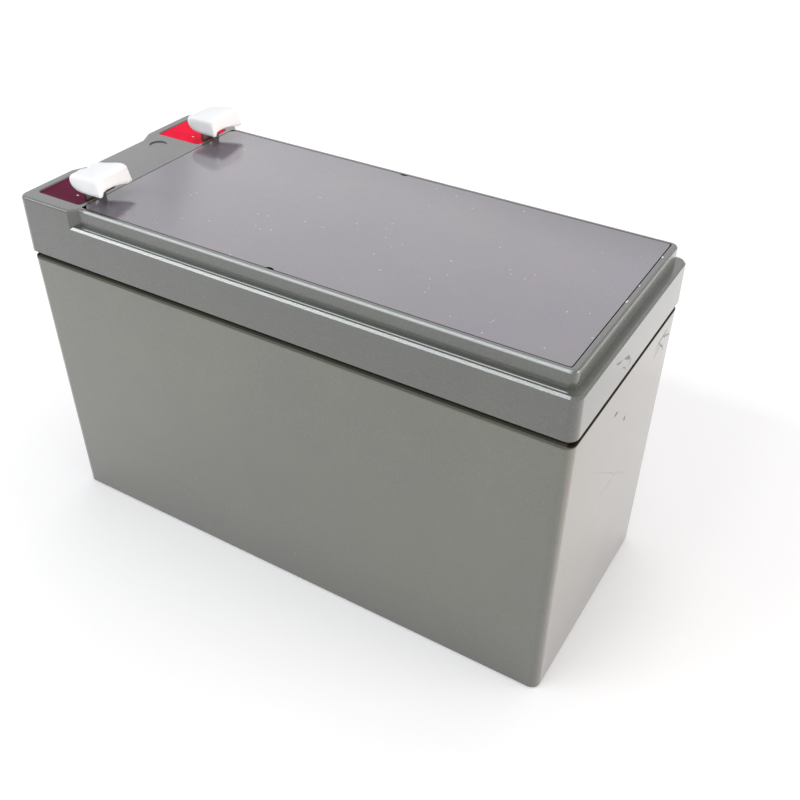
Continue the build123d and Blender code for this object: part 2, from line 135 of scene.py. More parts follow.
# Marks, in millimetres. A fleck: X, Y, half length, half width, and its turn in degrees. A stroke: its
# two ends and its width
PLATE_FLECKS = (
    (-18.3, -9.0, 0.45, 0.2, 0), (-15.8, -8.7, 0.4, 0.2, 30), (-13.2, -15.0, 0.3, 0.25, 0),
    (-10.7, -14.0, 0.6, 0.2, -20), (-15.0, -14.3, 0.3, 0.2, 0), (-26.1, -18.1, 0.3, 0.25, 0),
    (-32.3, -20.4, 0.3, 0.2, 0), (-10.9, 6.3, 0.9, 0.18, 10), (-1.0, -6.5, 0.35, 0.2, 60),
    (4.5, -0.7, 0.3, 0.2, 0), (11.8, 3.6, 0.45, 0.22, 20), (11.9, 0.6, 0.3, 0.2, 0),
    (14.1, -3.0, 0.3, 0.25, 0), (19.2, -4.1, 0.3, 0.2, 0), (16.0, -11.1, 0.4, 0.25, 40),
    (20.9, -16.6, 0.6, 0.2, 0), (32.3, -4.8, 0.45, 0.25, 0), (34.6, -10.7, 0.3, 0.2, 0),
    (46.2, -2.9, 0.3, 0.2, 0), (49.7, -3.3, 0.35, 0.2, 0), (50.8, -0.6, 0.3, 0.2, 0),
    (51.4, -22.3, 1.6, 0.1, 75), (43.2, -25.2, 0.3, 0.2, 0), (67.1, -9.0, 0.4, 0.2, 0),
    (34.0, -19.5, 0.3, 0.2, 0),
)
LID_BURRS = ((71.9, -0.6, 0.9, 0.3, 80), (71.9, 21.9, 0.7, 0.3, 100), (71.9, 7.0, 0.4, 0.2, 90))
CONTAINER_RUBS = (
    ((16.9, 71.6), (28.8, 74.2), 0.55), ((19.0, 73.9), (27.9, 66.5), 0.45),
    ((23.0, 73.2), (29.6, 70.2), 0.5), ((17.5, 69.6), (22.9, 70.9), 0.35),
    ((-5.8, 68.5), (-4.6, 68.6), 0.85), ((2.2, 61.9), (2.2, 63.1), 0.75),
)
FAINT_LINES = (((-28.1, 68.4), (29.2, 25.5), 0.3), ((-27.0, 47.0), (29.0, 42.0), 0.35))
SIDE_SCUFFS = (((-46.5, 17.5), (-26.0, 14.5), 0.3), ((-40.0, 13.0), (-31.0, 12.0), 0.25))
LID_RUBS = (
    ((-13.6, 86.6), (-7.4, 84.9), 0.35), ((-8.2, 85.1), (-2.0, 81.8), 0.5),
    ((-2.0, 81.8), (-4.4, 80.9), 0.4), ((-4.4, 80.9), (-9.2, 82.6), 0.25),
)


# Shapes worked out as whole arrays


def rounded_outline(length, width, radius, inset, arc_steps=10, side_steps=6):
    """Points round a rounded rectangle, drawn in by the inset.

    Each corner is its centre plus the radius turned through a quarter circle, and each side is
    divided evenly between two corners. The radius shrinks with the inset and stays above a
    twentieth of a millimetre, so the outlines of a stack share one number of points."""
    inset = np.asarray(inset, float)[..., None]
    half_x = length / 2 - inset
    half_y = width / 2 - inset
    r = np.maximum(radius - inset, 0.05 * MM)
    turn = np.linspace(0.0, math.pi / 2, arc_steps)
    corners = []
    for quarter, (sx, sy) in enumerate(((1, 1), (-1, 1), (-1, -1), (1, -1))):
        angle = turn + quarter * math.pi / 2
        x = sx * (half_x - r) + r * np.cos(angle)
        y = sy * (half_y - r) + r * np.sin(angle)
        corners.append(np.stack((x, y), axis=-1))
    runs = []
    share = np.linspace(0.0, 1.0, side_steps + 2)[1:-1, None]
    for here, there in zip(corners, corners[1:] + corners[:1]):
        runs.append(here)
        runs.append(here[..., -1:, :] * (1 - share) + there[..., :1, :] * share)
    return np.concatenate(runs, axis=-2)


def grid_faces(rows, columns):
    """Quads between neighbouring rows of a grid whose columns close on themselves."""
    i, j = np.meshgrid(np.arange(rows - 1), np.arange(columns), indexing="ij")
    k = (j + 1) % columns
    here, above = i * columns, (i + 1) * columns
    return np.stack((here + j, here + k, above + k, above + j), axis=-1).reshape(-1, 4)


def smooth_mesh(name, points, faces):
    """An object with a smooth mesh of the points and faces, linked to the scene."""
    mesh = bpy.data.meshes.new(name)
    mesh.from_pydata(points.reshape(-1, 3).tolist(), [], faces)
    mesh.polygons.foreach_set("use_smooth", np.ones(len(mesh.polygons), bool))
    mesh.update()
    piece = bpy.data.objects.new(name, mesh)
    bpy.context.scene.collection.objects.link(piece)
    return piece


def closed_stack(name, points, floor=True):
    """A mesh from a stack of rings, from the lowest to the last, capped at the top and, with a floor,
    at the bottom."""
    rows, columns, _ = points.shape
    faces = grid_faces(rows, columns).tolist()
    if floor:
        faces.append(list(range(columns))[::-1])
    faces.append([(rows - 1) * columns + j for j in range(columns)])
    return smooth_mesh(name, points, faces)


# Node material helpers


def start_material(name, roughness, metallic=0.0):
    """A new node material with its shader, and the object coordinates that its patterns read."""
    material = bpy.data.materials.new(name)
    material.use_nodes = True
    tree = material.node_tree
    shader = tree.nodes["Principled BSDF"]
    feed(tree, shader, {"Roughness": roughness, "Metallic": metallic})
    place = tree.nodes.new("ShaderNodeTexCoord").outputs["Object"]
    return material, tree, shader, place


def feed(tree, node, inputs):
    """Links each named input of the node to its socket, or sets it to its plain value."""
    for key, value in inputs.items():
        if isinstance(value, bpy.types.NodeSocket):
            tree.links.new(value, node.inputs[key])
        else:
            node.inputs[key].default_value = value


def new_node(tree, kind, inputs, **settings):
    """A node of the kind, with its settings and its inputs."""
    node = tree.nodes.new(kind)
    for key, value in settings.items():
        setattr(node, key, value)
    feed(tree, node, inputs)
    return node


def mapped(tree, place, location=(0, 0, 0), turn=(0, 0, 0), scale=(1, 1, 1)):
    """The coordinates seen from a place, turned, and measured in units of the scale."""
    inputs = {"Location": location, "Rotation": turn, "Scale": scale, "Vector": place}
    return new_node(tree, "ShaderNodeMapping", inputs, vector_type="TEXTURE").outputs["Vector"]


def noise(tree, place, scale, detail=3.0, roughness=0.55, distortion=0.0):
    """Cloudy noise from 0 to 1 with the given features per metre."""
    inputs = {"Vector": place, "Scale": scale, "Detail": detail, "Roughness": roughness}
    return new_node(tree, "ShaderNodeTexNoise", {**inputs, "Distortion": distortion}).outputs["Fac"]


def ramp(tree, value, low, high, reach=(0.0, 1.0)):
    """The value spread from low..high to the reach, and cut off outside it."""
    inputs = {"Value": value, "From Min": low, "From Max": high, "To Min": reach[0], "To Max": reach[1]}
    return new_node(tree, "ShaderNodeMapRange", inputs).outputs["Result"]


def maths(tree, operation, a, b):
    """One sum on two values or sockets."""
    return new_node(tree, "ShaderNodeMath", {0: a, 1: b}, operation=operation).outputs["Value"]


def amount(tree, value):
    """The value without its sign."""
    return maths(tree, "ABSOLUTE", value, 0.0)


def joined(tree, *masks):
    """The strongest of several masks."""
    total = masks[0]
    for mask in masks[1:]:
        total = maths(tree, "MAXIMUM", total, mask)
    return total


def split(tree, place):
    """The coordinates as three numbers."""
    return tuple(new_node(tree, "ShaderNodeSeparateXYZ", {"Vector": place}).outputs)


def blend_colour(tree, share, a, b):
    """Colour a turning to colour b by the share."""
    a, b = ((*colour, 1.0) if isinstance(colour, tuple) else colour for colour in (a, b))
    return new_node(tree, "ShaderNodeMix", {0: share, 6: a, 7: b}, data_type="RGBA").outputs[2]


def scaled(colour, share):
    """The colour times a share, or times one share for each of red, green and blue."""
    return tuple(float(c) for c in np.multiply(colour, share))


def laid(tree, body, mask, strength, colour):
    """The body colour with another laid over it, by the mask times the strength."""
    return blend_colour(tree, ramp(tree, mask, 0.0, 1.0, (0.0, strength)), body, colour)


def clouded(tree, shader, cloud, low, high, a, b):
    """Sets the shader's colour, which turns from a to b as the cloud rises from low to high."""
    feed(tree, shader, {"Base Color": blend_colour(tree, ramp(tree, cloud, low, high), a, b)})


def relief(tree, shader, height, distance, strength, under=None):
    """Bumps of the given depth in metres on the shader's normal, over an earlier relief."""
    bumps = {"Distance": distance, "Strength": strength, "Height": height}
    if under is not None:
        bumps["Normal"] = under
    normal = new_node(tree, "ShaderNodeBump", bumps).outputs["Normal"]
    feed(tree, shader, {"Normal": normal})
    return normal


def specks(tree, place, per_metre, size, share):
    """Round specks: one in each cell of a Voronoi pattern, kept in a share of the cells."""
    cells = new_node(tree, "ShaderNodeTexVoronoi", {"Scale": per_metre, "Vector": place}).outputs
    chance = new_node(tree, "ShaderNodeSeparateColor", {"Color": cells["Color"]}).outputs
    kept = ramp(tree, chance["Red"], 1.0 - share, 1.0 - share * 0.95)
    reach = maths(tree, "MULTIPLY", chance["Green"], size)
    near = maths(tree, "SUBTRACT", reach, cells["Distance"])
    return maths(tree, "MULTIPLY", ramp(tree, near, 0.0, size * 0.25), kept)


def hairlines(tree, place, turn, length, width, share, shift):
    """Fine scratches: noise drawn out along the turned X axis and cut to its thin crests. Lengths and
    widths are in metres, and the share says how much of the surface has any."""
    drawn = mapped(tree, place, (shift, shift, shift), turn, (length, width, width))
    line = noise(tree, drawn, 1.0, 1.0, 0.3)
    away = amount(tree, maths(tree, "SUBTRACT", line, 0.5))
    thin = ramp(tree, away, 0.0, 0.012, (1.0, 0.0))
    where = noise(tree, mapped(tree, place, (shift * 2, 0.3, 0)), 45.0, 1.0)
    return maths(tree, "MULTIPLY", thin, ramp(tree, where, 1.0 - share, 1.0 - share + 0.08))


def oval(tree, place, centre, turn, size):
    """From 1 at the centre to 0 at the edge of a turned oval, all in metres."""
    inputs = {"Vector": mapped(tree, place, centre, turn, size)}
    return new_node(tree, "ShaderNodeTexGradient", inputs, gradient_type="SPHERICAL").outputs["Fac"]


def wavy(tree, place, reach):
    """The coordinates shaken by noise of about three millimetres, up to half the reach each way."""
    shake = new_node(tree, "ShaderNodeTexNoise", {"Scale": 340.0, "Detail": 3.0, "Vector": place})
    kind = "ShaderNodeVectorMath"
    centred = new_node(tree, kind, {0: shake.outputs["Color"], 1: (0.5, 0.5, 0.5)}, operation="SUBTRACT")
    inputs = {0: centred.outputs["Vector"], 1: (reach, reach, reach), 2: place}
    return new_node(tree, kind, inputs, operation="MULTIPLY_ADD").outputs["Vector"]


def ragged(tree, place, cores, raggedness):
    """The strongest of some ovals, its edge broken up by fine noise."""
    rag = noise(tree, place, 1800.0, 3.0, 0.7)
    core = maths(tree, "SUBTRACT", joined(tree, *cores), maths(tree, "MULTIPLY", rag, raggedness))
    return ramp(tree, core, 0.0, 0.3)


def end_strokes(tree, place, marks, raggedness):
    """Uneven strokes between points in Y and Z on the far end, with widths, in millimetres."""
    place = wavy(tree, place, 2.2 * MM)
    cores = []
    for (y0, z0), (y1, z1), width in marks:
        middle = (END_X, (y0 + y1) / 2 * MM, (z0 + z1) / 2 * MM)
        half = (math.hypot(y1 - y0, z1 - z0) / 2 + width) * MM
        turn = (math.atan2(z1 - z0, y1 - y0), 0, 0)
        cores.append(oval(tree, place, middle, turn, (4 * MM, half, width * MM)))
    return ragged(tree, place, cores, raggedness)


def side_strokes(tree, place, marks, raggedness):
    """Uneven strokes between points in X and Z on the front, with widths, in millimetres."""
    place = wavy(tree, place, 2.0 * MM)
    cores = []
    for (x0, z0), (x1, z1), width in marks:
        middle = ((x0 + x1) / 2 * MM, -SIDE_Y, (z0 + z1) / 2 * MM)
        half = (math.hypot(x1 - x0, z1 - z0) / 2 + width) * MM
        turn = (0, -math.atan2(z1 - z0, x1 - x0), 0)
        cores.append(oval(tree, place, middle, turn, (half, 4 * MM, width * MM)))
    return ragged(tree, place, cores, raggedness)


def top_flecks(tree, place, marks, raggedness):
    """Flecks on the top: X, Y, half length, half width in millimetres, and the turn in degrees."""
    cores = []
    for x, y, length, width, degrees in marks:
        centre = (x * MM, y * MM, TOP_Z)
        turn = (0, 0, math.radians(degrees))
        cores.append(oval(tree, place, centre, turn, (length * MM, width * MM, 3 * MM)))
    return ragged(tree, place, cores, raggedness)


def dress(names, material):
    """Puts the material on the named nodes of the frame."""
    for name in names:
        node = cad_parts[name]
        node.data.materials.clear()
        node.data.materials.append(material)


# Sizes and colours that a user would change


class CaseFinish(bpy.types.PropertyGroup):
    """Colours and wear of the moulded case."""

    container_colour: bpy.props.FloatVectorProperty(
        name="Container", description="Colour of the tub", default=(0.130, 0.134, 0.102), **COLOUR
    )
    lid_colour: bpy.props.FloatVectorProperty(
        name="Lid", description="Colour of the lid", default=(0.092, 0.096, 0.082), **COLOUR
    )
    plate_colour: bpy.props.FloatVectorProperty(
        name="Vent cover", description="Colour of the flush cover", default=(0.176, 0.158, 0.184), **COLOUR
    )
    container_roughness: bpy.props.FloatProperty(
        name="Container roughness", description="Roughness of the tub", default=0.20, **SHARE
    )
    lid_roughness: bpy.props.FloatProperty(
        name="Lid roughness", description="Roughness of the lid", default=0.17, **SHARE
    )
    plate_roughness: bpy.props.FloatProperty(
        name="Cover roughness", description="Roughness of the flush cover", default=0.10, **SHARE
    )
    shine: bpy.props.FloatProperty(
        name="Shine", description="Strength of the surface reflection", default=0.6, **SHARE
    )
    coat: bpy.props.FloatProperty(
        name="Coat", description="Strength of the glossy skin", default=1.0, **SHARE
    )
    wear: bpy.props.FloatProperty(
        name="Wear", description="Share of the surface with hairlines", default=0.30, **SHARE
    )
    grain_depth: bpy.props.FloatProperty(
        name="Grain depth", description="Depth of the moulded grain", default=0.00002, **LENGTH
    )
    speck_size: bpy.props.FloatProperty(
        name="Speck size", description="Largest dust speck, as a share of its cell", default=0.11, **SHARE
    )


class TerminalFinish(bpy.types.PropertyGroup):
    """Colours and sizes of the terminals."""

    positive_epoxy: bpy.props.FloatVectorProperty(
        name="Positive epoxy", description="Colour of the rear pour", default=(0.98, 0.004, 0.045), **COLOUR
    )
    # The front pour's maroon is partly the epoxy's own dark colour and partly a painted pink reflection
    negative_epoxy: bpy.props.FloatVectorProperty(
        name="Negative epoxy", description="Colour of the front pour", default=(0.13, 0.01, 0.04), **COLOUR
    )
    cover_colour: bpy.props.FloatVectorProperty(
        name="Tab cover", description="Colour of the slip-on covers", default=(0.95, 0.945, 0.97), **COLOUR
    )
    # Darkened well below bright tin, as painted shade on the tabs down in the pockets
    tab_colour_with_painted_shade: bpy.props.FloatVectorProperty(
        name="Tab metal", description="Colour of the tinned tabs", default=(0.26, 0.24, 0.22), **COLOUR
    )
    meniscus_rise: bpy.props.FloatProperty(
        name="Meniscus rise", description="Climb of the epoxy at the pocket wall", default=0.00015, **LENGTH
    )
    meniscus_reach: bpy.props.FloatProperty(
        name="Meniscus reach", description="How far in from the wall it climbs", default=0.0006, **SPAN
    )
    pocket_corner: bpy.props.FloatProperty(
        name="Pocket corner", description="Radius of the pocket's corners", default=0.001, **LENGTH
    )
    lobe_width: bpy.props.FloatProperty(
        name="Lobe width", description="Width of the cover's lobe", default=0.0046, **LENGTH
    )
    lobe_reach: bpy.props.FloatProperty(
        name="Lobe reach", description="How far the lobe stands out", default=0.0009, **LENGTH
    )
    slant_length: bpy.props.FloatProperty(
        name="Slant length", description="Length of the slanted back corner", default=0.0066, **LENGTH
    )
    slant_width: bpy.props.FloatProperty(
        name="Slant width", description="Width of the slanted back corner", default=0.0029, **LENGTH
    )
    plan_softness: bpy.props.FloatProperty(
        name="Plan softness", description="How far the plan's corners are softened", default=0.00075, **SPAN
    )
    nick_depth: bpy.props.FloatProperty(
        name="Nick depth", description="Depth of the nick beside the lobe", default=0.0009, **LENGTH
    )
    lobe_lift: bpy.props.FloatProperty(
        name="Lobe lift", description="How far the foot is lifted under the lobe", default=0.0011, **LENGTH
    )
    taper: bpy.props.FloatProperty(
        name="Taper", description="How far the inner wall draws in as it rises", default=0.0007, **LENGTH
    )
    wall_lean: bpy.props.FloatProperty(
        name="Wall lean", description="How far the outer wall leans in", default=0.07, min=0, max=0.5
    )
    cover_yaw: bpy.props.FloatProperty(
        name="Cover yaw", description="Turn of each cover", default=math.radians(2.2), subtype="ANGLE"
    )
    front_slip: bpy.props.FloatProperty(
        name="Front slip", description="How far the front cover has slipped inward",
        default=0.0006, subtype="DISTANCE", unit="LENGTH",
    )
    cover_rounding: bpy.props.FloatProperty(
        name="Cover rounding", description="Radius of the cover's top edges", default=0.0013, **SPAN
    )
    cover_dome: bpy.props.FloatProperty(
        name="Cover dome", description="Rise of the cover's top", default=0.00015, **LENGTH
    )
    cover_skin: bpy.props.FloatProperty(
        name="Cover skin", description="Thickness of the cover", default=0.0012, **SPAN
    )


class InsideFinish(bpy.types.PropertyGroup):
    """Colours of what the case holds."""

    lead: bpy.props.FloatVectorProperty(
        name="Lead", description="Cast lead", default=(0.34, 0.35, 0.38), **COLOUR
    )
    positive_paste: bpy.props.FloatVectorProperty(
        name="Positive paste", description="Lead dioxide", default=(0.20, 0.11, 0.07), **COLOUR
    )
    negative_paste: bpy.props.FloatVectorProperty(
        name="Negative paste", description="Spongy lead", default=(0.33, 0.34, 0.36), **COLOUR
    )
    glass_mat: bpy.props.FloatVectorProperty(
        name="Glass mat", description="Separators", default=(0.86, 0.87, 0.85), **COLOUR
    )
    rubber: bpy.props.FloatVectorProperty(
        name="Rubber", description="Valves", default=(0.035, 0.035, 0.037), **COLOUR
    )


class StudioSettings(bpy.types.PropertyGroup):
    """Camera, floor and lamps."""

    camera_place: bpy.props.FloatVectorProperty(
        name="Camera place", description="Where the camera stands", subtype="TRANSLATION", unit="LENGTH",
        size=3, default=(0.12185, -0.17726, 0.20171),
    )
    camera_turn: bpy.props.FloatVectorProperty(
        name="Camera turn", description="How the camera is turned", subtype="EULER", size=3,
        default=(math.radians(52.905), math.radians(-0.444), math.radians(31.052)),
    )
    lens: bpy.props.FloatProperty(
        name="Lens", description="Focal length on the sensor, in mm", default=44.36, min=1
    )
    floor_colour: bpy.props.FloatVectorProperty(
        name="Floor", description="Colour of the floor", default=(0.92, 0.915, 0.91), **COLOUR
    )
    floor_lift: bpy.props.FloatProperty(
        name="Floor lift", description="Brightness added where the floor is seen", default=0.17, **SHARE
    )
    world_strength: bpy.props.FloatProperty(
        name="World", description="Strength of the even light", default=0.57, min=0
    )
    right_power: bpy.props.FloatProperty(
        name="Right lamp", description="Power of the low lamp beyond the far end", default=10.0, **POWER
    )
    front_power: bpy.props.FloatProperty(
        name="Front lamp", description="Power of the lamp on the long side", default=4.9, **POWER
    )
    top_power: bpy.props.FloatProperty(
        name="Top lamp", description="Power of the lamp above", default=3.0, **POWER
    )
    fill_power: bpy.props.FloatProperty(
        name="Fill lamp", description="Power of the wide lamp in front", default=1.6, **POWER
    )
    glare_power: bpy.props.FloatProperty(
        name="Glare lamp", description="Power of the lamp behind the case", default=1.2, **POWER
    )


# Marks of the case, with its painted light and shade


def painted_foot_shade_and_end_light(tree, place, body):
    """The colour with painted warm light on the ends, and painted shade deeper towards the foot and on
    the low part of the ends."""
    x, _, z = split(tree, place)
    wide = ramp(tree, z, 0.0, 60 * MM, (0.32, 0.0))
    narrow = ramp(tree, z, 0.0, 18 * MM, (0.28, 0.0))
    at_end = ramp(tree, amount(tree, x), *END_FACE)
    low_end = maths(tree, "MULTIPLY", ramp(tree, z, 12 * MM, 34 * MM, (0.22, 0.0)), at_end)
    share = maths(tree, "ADD", maths(tree, "ADD", wide, narrow), low_end)
    # Painted warm light on the ends, then painted shade towards the foot
    body = blend_colour(tree, maths(tree, "MULTIPLY", at_end, 0.6), body, END_PAINTED_LIGHT)
    return blend_colour(tree, share, body, FOOT_PAINTED_SHADE)


def painted_seam_shade_mask(tree, place):
    """One inside the seam between container and lid, where shade is painted. On the ends it starts at
    the foot of the container's bevel."""
    x, _, z = split(tree, place)
    bevel = ramp(tree, amount(tree, x), 73.4 * MM, 74.6 * MM, (0.0, 0.33 * MM))
    above = ramp(tree, maths(tree, "ADD", z, bevel), SEAM_Z - MASK_EDGE, SEAM_Z + MASK_FADE)
    below = ramp(tree, z, SKIRT_Z - MASK_EDGE, SKIRT_Z + MASK_FADE, (1.0, 0.0))
    return maths(tree, "MINIMUM", above, below)


def painted_gap_shade_mask(tree, place):
    """One below the top inside the line round the flush cover, where shade is painted."""
    low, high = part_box("vent_cover")
    x, y, z = split(tree, place)
    middle = (low[0] + high[0]) / 2
    x = maths(tree, "SUBTRACT", x, middle)
    within_x = maths(tree, "LESS_THAN", amount(tree, x), high[0] - middle + GAP_REACH)
    within_y = maths(tree, "LESS_THAN", amount(tree, y), high[1] + GAP_REACH)
    deep = maths(tree, "LESS_THAN", z, TOP_Z - GAP_DEPTH)
    return maths(tree, "MINIMUM", maths(tree, "MINIMUM", within_x, within_y), deep)


def long_line(tree, place, reach_y, level, half_width):
    """One on a narrow line along both long sides of the lid, at a reach from the middle and a level,
    from the slope of the blocks to near the far end."""
    x, y, z = split(tree, place)
    masks = []
    for value, middle in ((amount(tree, y), reach_y), (z, level)):
        away = amount(tree, maths(tree, "SUBTRACT", value, middle))
        masks.append(ramp(tree, away, half_width * 0.5, half_width, (1.0, 0.0)))
    line = maths(tree, "MINIMUM", *masks)
    for fade, reach in ((LINE_END, (1.0, 0.0)), (LINE_START, (0.0, 1.0))):
        line = maths(tree, "MINIMUM", line, ramp(tree, x, *fade, reach))
    return line


def side_lines(tree, place, wear):
    """Hairlines on the long sides in their own plane, and on the ends in theirs."""
    at_end = ramp(tree, amount(tree, split(tree, place)[0]), 74 * MM, 74.5 * MM)
    on_side = maths(tree, "SUBTRACT", 1.0, at_end)
    long_side = joined(
        tree,
        hairlines(tree, place, (0, 0.3, 0), 50 * MM, 0.9 * MM, wear, 0.11),
        hairlines(tree, place, (0, -0.8, 0), 50 * MM, 0.9 * MM, wear, 0.37),
    )
    ends = joined(
        tree,
        hairlines(tree, place, (0, 1.35, math.pi / 2), 50 * MM, 1.6 * MM, wear - 0.05, 0.23),
        hairlines(tree, place, (0, 0.4, math.pi / 2), 50 * MM, 1.6 * MM, wear - 0.05, 0.53),
    )
    long_side = maths(tree, "MULTIPLY", long_side, on_side)
    return maths(tree, "ADD", long_side, maths(tree, "MULTIPLY", ends, at_end))


def top_lines(tree, place, wear):
    """Hairlines on the top, in its own plane."""
    return joined(
        tree,
        hairlines(tree, place, (0, 0, 0.5), 40 * MM, 0.6 * MM, wear * 0.85, 0.11),
        hairlines(tree, place, (0, 0, -0.8), 40 * MM, 0.6 * MM, wear * 0.85, 0.37),
    )


def moulded_plastic(name, colour, roughness, finish, lines, dust, dirt, extra):
    """Dark moulded plastic: clouds in colour and gloss, fine grain, hairlines by the given function,
    specks in the dirt's colour, and the local marks and painted light and shade that extra adds, which
    are dull where extra says."""
    material, tree, shader, place = start_material(name, roughness)
    clouds = noise(tree, mapped(tree, place, (0, 0, 0), (0.3, 0, 0.2), (1, 1, 1.7)), 34.0, 5.0, 0.6)
    darker = scaled(colour, (0.93, 0.93, 0.97))
    lighter = scaled(colour, (1.06, 1.07, 1.02))
    body = blend_colour(tree, ramp(tree, clouds, 0.32, 0.68), darker, lighter)
    tint = noise(tree, mapped(tree, place, (0.05, 0.02, 0.09)), 75.0, 2.0, 0.5)
    lilac = scaled(colour, (1.02, 0.96, 1.08))
    body = blend_colour(tree, ramp(tree, tint, 0.5, 0.75, (0.0, 0.6)), body, lilac)
    fine = noise(tree, place, 2600.0, 3.0, 0.6)
    body = blend_colour(tree, ramp(tree, fine, 0.4, 0.9, (0.0, 0.14)), body, GRAIN_TINT)
    scratches = lines(tree, place, finish.wear)
    dots = joined(
        tree,
        specks(tree, place, 260.0, finish.speck_size, dust * 0.3),
        specks(tree, mapped(tree, place, (0.013, 0.007, 0.003)), 620.0, finish.speck_size * 1.6, dust),
    )
    where = noise(tree, mapped(tree, place, (0.02, 0.11, 0.05)), 38.0, 2.0)
    dots = maths(tree, "MULTIPLY", dots, ramp(tree, where, 0.42, 0.6, (0.15, 1.0)))
    body = laid(tree, body, scratches, 0.2, dirt)
    body = laid(tree, body, dots, 0.6, dirt)
    body, dull = extra(tree, place, body)
    gloss = ramp(tree, noise(tree, place, 60.0, 5.0, 0.65), 0.3, 0.7, (roughness * 0.88, roughness * 1.14))
    worn = maths(tree, "MULTIPLY", maths(tree, "MAXIMUM", scratches, dots), 0.12)
    finishes = {
        "Base Color": body,
        "Specular IOR Level": ramp(tree, dull, 0.0, 1.0, (finish.shine, 0.0)),
        "Coat Weight": ramp(tree, dull, 0.0, 1.0, (finish.coat, 0.0)),
        "Coat Roughness": roughness * 1.25,
        "Roughness": maths(tree, "ADD", gloss, worn),
    }
    feed(tree, shader, finishes)
    under = relief(tree, shader, noise(tree, place, 1500.0, 3.0, 0.6), finish.grain_depth, 0.5)
    relief(tree, shader, maths(tree, "SUBTRACT", dots, scratches), 0.015 * MM, 0.5, under)
    return material


def container_marks_and_painted_light(tree, place, body):
    """Painted shade at the foot and in the seam, painted warm light on the ends, dark rub marks and
    dots on the far end, and two faint long lines there."""
    seam = painted_seam_shade_mask(tree, place)
    # Painted shade at the foot and in the seam, and painted warm light on the ends
    body = blend_colour(tree, seam, painted_foot_shade_and_end_light(tree, place, body), SEAM_PAINTED_SHADE)
    rub = end_strokes(tree, place, CONTAINER_RUBS, 0.45)
    faint = end_strokes(tree, place, FAINT_LINES, 0.6)
    scuff = side_strokes(tree, place, SIDE_SCUFFS, 0.6)
    body = laid(tree, body, faint, 0.35, FAINT_LINE)
    body = laid(tree, body, scuff, 0.4, SCUFF)
    body = laid(tree, body, rub, 0.75, CONTAINER_RUB)
    bevel = ramp(tree, split(tree, place)[2], SEAM_Z - 0.75 * MM, SEAM_Z - 0.45 * MM)
    marks = joined(tree, maths(tree, "MULTIPLY", rub, 0.9), maths(tree, "MULTIPLY", faint, 0.3))
    return body, joined(tree, seam, bevel, marks)


def lid_marks_and_painted_light(tree, place, body):
    """Painted shade in the seam and in the gap, painted highlight lines along the step and along the
    edge of the raised top, a curled rub mark on the lid's band at the far end, and pale burrs on the
    line round the cover."""
    seam, gap = painted_seam_shade_mask(tree, place), painted_gap_shade_mask(tree, place)
    # Painted shade in the seam and in the gap round the flush cover
    body = blend_colour(tree, seam, body, SEAM_PAINTED_SHADE)
    body = blend_colour(tree, gap, body, GAP_PAINTED_SHADE)
    # Painted highlight lines along the step and along the edge of the raised top
    step = long_line(tree, place, STEP_Y, STEP_Z, 0.23 * MM)
    rim = long_line(tree, place, RIM_Y, RIM_Z, 0.36 * MM)
    pale = joined(tree, maths(tree, "MULTIPLY", step, 0.95), maths(tree, "MULTIPLY", rim, 0.5))
    body = blend_colour(tree, pale, body, PAINTED_EDGE_HIGHLIGHT)
    rub = end_strokes(tree, place, LID_RUBS, 0.35)
    burrs = top_flecks(tree, place, LID_BURRS, 0.3)
    body = laid(tree, body, rub, 0.85, LID_RUB)
    body = laid(tree, body, burrs, 0.9, BURR)
    return body, joined(tree, seam, gap, maths(tree, "MULTIPLY", rub, 0.8))


def plate_marks_and_painted_shade(tree, place, body):
    """Painted shade in the gap, and pale flecks and short scratches over the middle of the flush cover."""
    gap = painted_gap_shade_mask(tree, place)
    # Painted shade in the gap round the flush cover
    body = blend_colour(tree, gap, body, GAP_PAINTED_SHADE)
    flecks = top_flecks(tree, place, PLATE_FLECKS, 0.55)
    body = laid(tree, body, flecks, 0.6, FLECK)
    return body, joined(tree, gap, maths(tree, "MULTIPLY", flecks, 0.4))


# Operators: one for each piece or group of like pieces, and one for the stage


class BATTERY_OT_case_finish(bpy.types.Operator):
    """Dress the container, the lid and the vent cover in worn dark plastic"""

    bl_idname = "battery.case_finish"
    bl_label = "Case finish"

    def execute(self, context):
        finish = context.scene.battery_case
        for node, kind, lines, dust, dirt, marks in (
            ("container", "container", side_lines, 0.12, DARK_DUST, container_marks_and_painted_light),
            ("lid", "lid", side_lines, 0.06, DARK_DUST, lid_marks_and_painted_light),
            ("vent_cover", "plate", top_lines, 0.16, PALE_DUST, plate_marks_and_painted_shade),
        ):
            colour = tuple(getattr(finish, f"{kind}_colour"))
            roughness = getattr(finish, f"{kind}_roughness")
            name = f"{node}_plastic"
            dress([node], moulded_plastic(name, colour, roughness, finish, lines, dust, dirt, marks))
        return {"FINISHED"}


def epoxy_material(name, colour, glow, crumb_and_painted_glint):
    """Poured epoxy: deep colour, glass-smooth, with faint swirls of tint, tiny bubbles, and one painted
    glint, a small pale oval, at the given place."""
    material, tree, shader, place = start_material(name, 0.09)
    swirl = noise(tree, place, 260.0, 3.0, 0.5, 0.8)
    body = blend_colour(tree, ramp(tree, swirl, 0.35, 0.65), scaled(colour, 0.88), colour)
    bubbles = specks(tree, place, 900.0, 0.16, 0.12)
    body = laid(tree, body, bubbles, 0.35, glow)
    # A painted glint: a small pale oval on the pour
    spot = oval(tree, place, crumb_and_painted_glint, (0, 0, 0), (0.42 * MM, 0.36 * MM, 1.5 * MM))
    body = blend_colour(tree, ramp(tree, spot, 0.1, 0.5), body, PAINTED_GLINT)
    feed(tree, shader, {"Base Color": body, "Specular IOR Level": 0.06, "IOR": 1.25})
    under = relief(tree, shader, noise(tree, place, 420.0, 2.0, 0.5), 0.06 * MM, 0.5)
    relief(tree, shader, bubbles, 0.03 * MM, 0.5, under)
    return material


